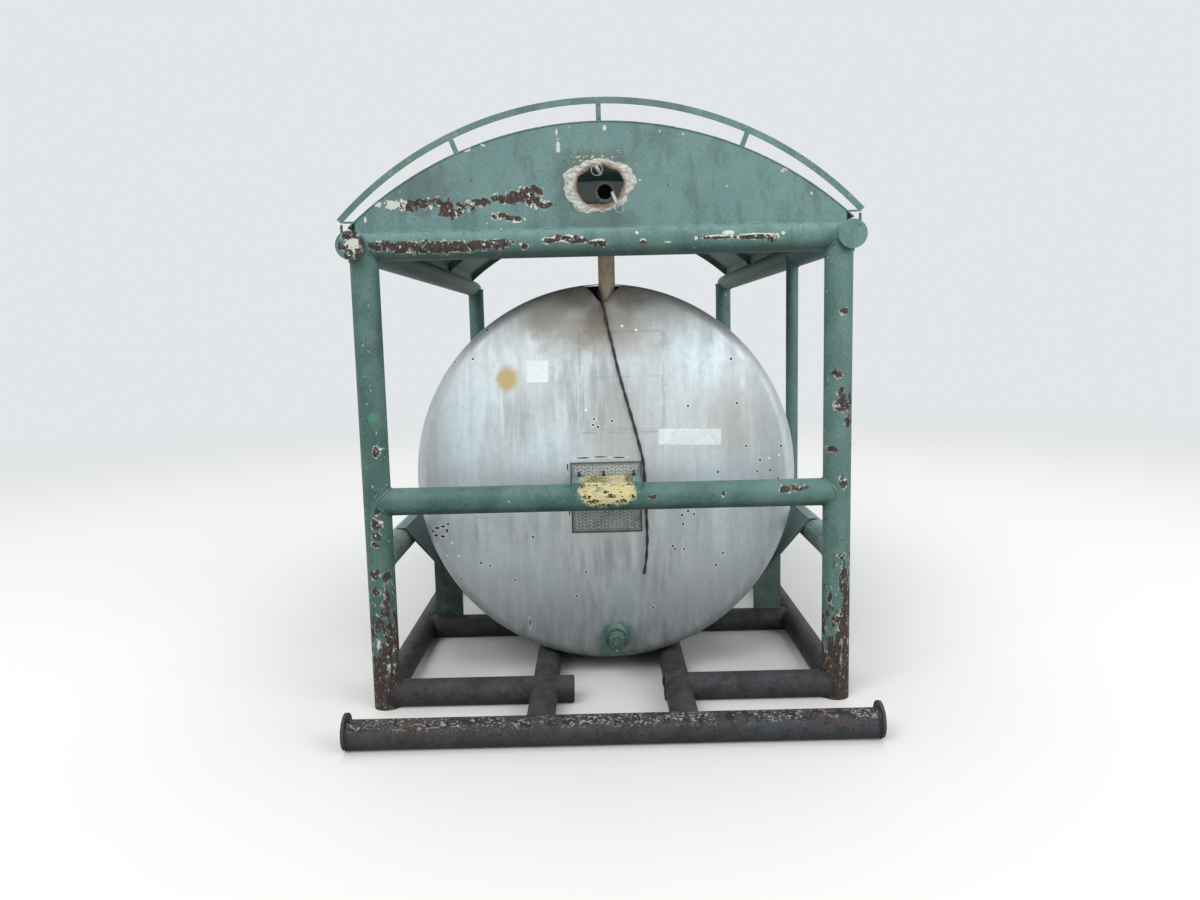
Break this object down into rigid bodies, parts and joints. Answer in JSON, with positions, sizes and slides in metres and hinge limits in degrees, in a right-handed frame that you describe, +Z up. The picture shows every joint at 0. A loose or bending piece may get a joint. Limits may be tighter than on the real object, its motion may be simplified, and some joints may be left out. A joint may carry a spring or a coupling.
{
  "type": "horizontal pressure tank",
  "caption": "Horizontal insulated pressure tank with dished heads, on saddles in a welded pipe skid frame under an arched roof, with tow pipes at both ends.",
  "frame": {"origin": "on the ground under the middle of the skid", "axes": "+Z up; +Y from the front, where the arched end plate and the drain are, to the rear; +X to the right as seen from the front"},
  "size_m": [2.124, 4.4046, 2.4958],
  "materials": {
    "green_enamel": "faded enamel with chips and rust",
    "rusty_steel": "dark weathered paint over rust",
    "jacket_aluminium": "weathered, streaked and sooty",
    "tan_primer": "rusty primer",
    "dark_steel": "burnt and sooty",
    "vessel_steel": "primer",
    "black_cable": "matt sheath"
  },
  "bodies": {
    "root": {"front_left_post": "green_enamel", "front_right_post": "green_enamel", "rear_left_post": "green_enamel", "rear_right_post": "green_enamel", "left_top_rail": "green_enamel", "right_top_rail": "green_enamel", "top_rail_caps": "green_enamel", "front_top_beam": "green_enamel", "front_cross_bar": "green_enamel", "rear_cross_bar": "green_enamel", "front_arch_plate": "green_enamel", "roof_sheet": "green_enamel", "roof_bows": "green_enamel", "eave_strips": "green_enamel", "front_hoop": "green_enamel", "hoop_standoffs": "green_enamel", "left_mid_braces": "green_enamel", "right_mid_braces": "green_enamel", "front_saddle_band": "green_enamel", "rear_saddle_band": "green_enamel", "front_saddle_legs": "green_enamel", "rear_saddle_legs": "green_enamel", "right_upright": "green_enamel", "left_skid_pipe": "rusty_steel", "right_skid_pipe": "rusty_steel", "inner_left_skid_pipe": "rusty_steel", "inner_right_skid_pipe": "rusty_steel", "front_tow_pipe": "rusty_steel", "rear_tow_pipe": "rusty_steel", "tow_end_plates": "rusty_steel", "front_lower_rails": "rusty_steel", "rear_lower_rails": "rusty_steel", "tow_necks": "rusty_steel", "skid_cross_pipes": "rusty_steel", "tank_shell": "jacket_aluminium", "front_head": "jacket_aluminium", "rear_head": "jacket_aluminium", "pressure_vessel": "vessel_steel", "spacer_rings": "vessel_steel", "standpipe": "tan_primer", "outlet_elbow": "dark_steel", "drain_coupling": "green_enamel", "drain_plug": "green_enamel", "tread_plate": "jacket_aluminium", "step_pad": "green_enamel", "cable": "black_cable"}
  },
  "joints": []
}
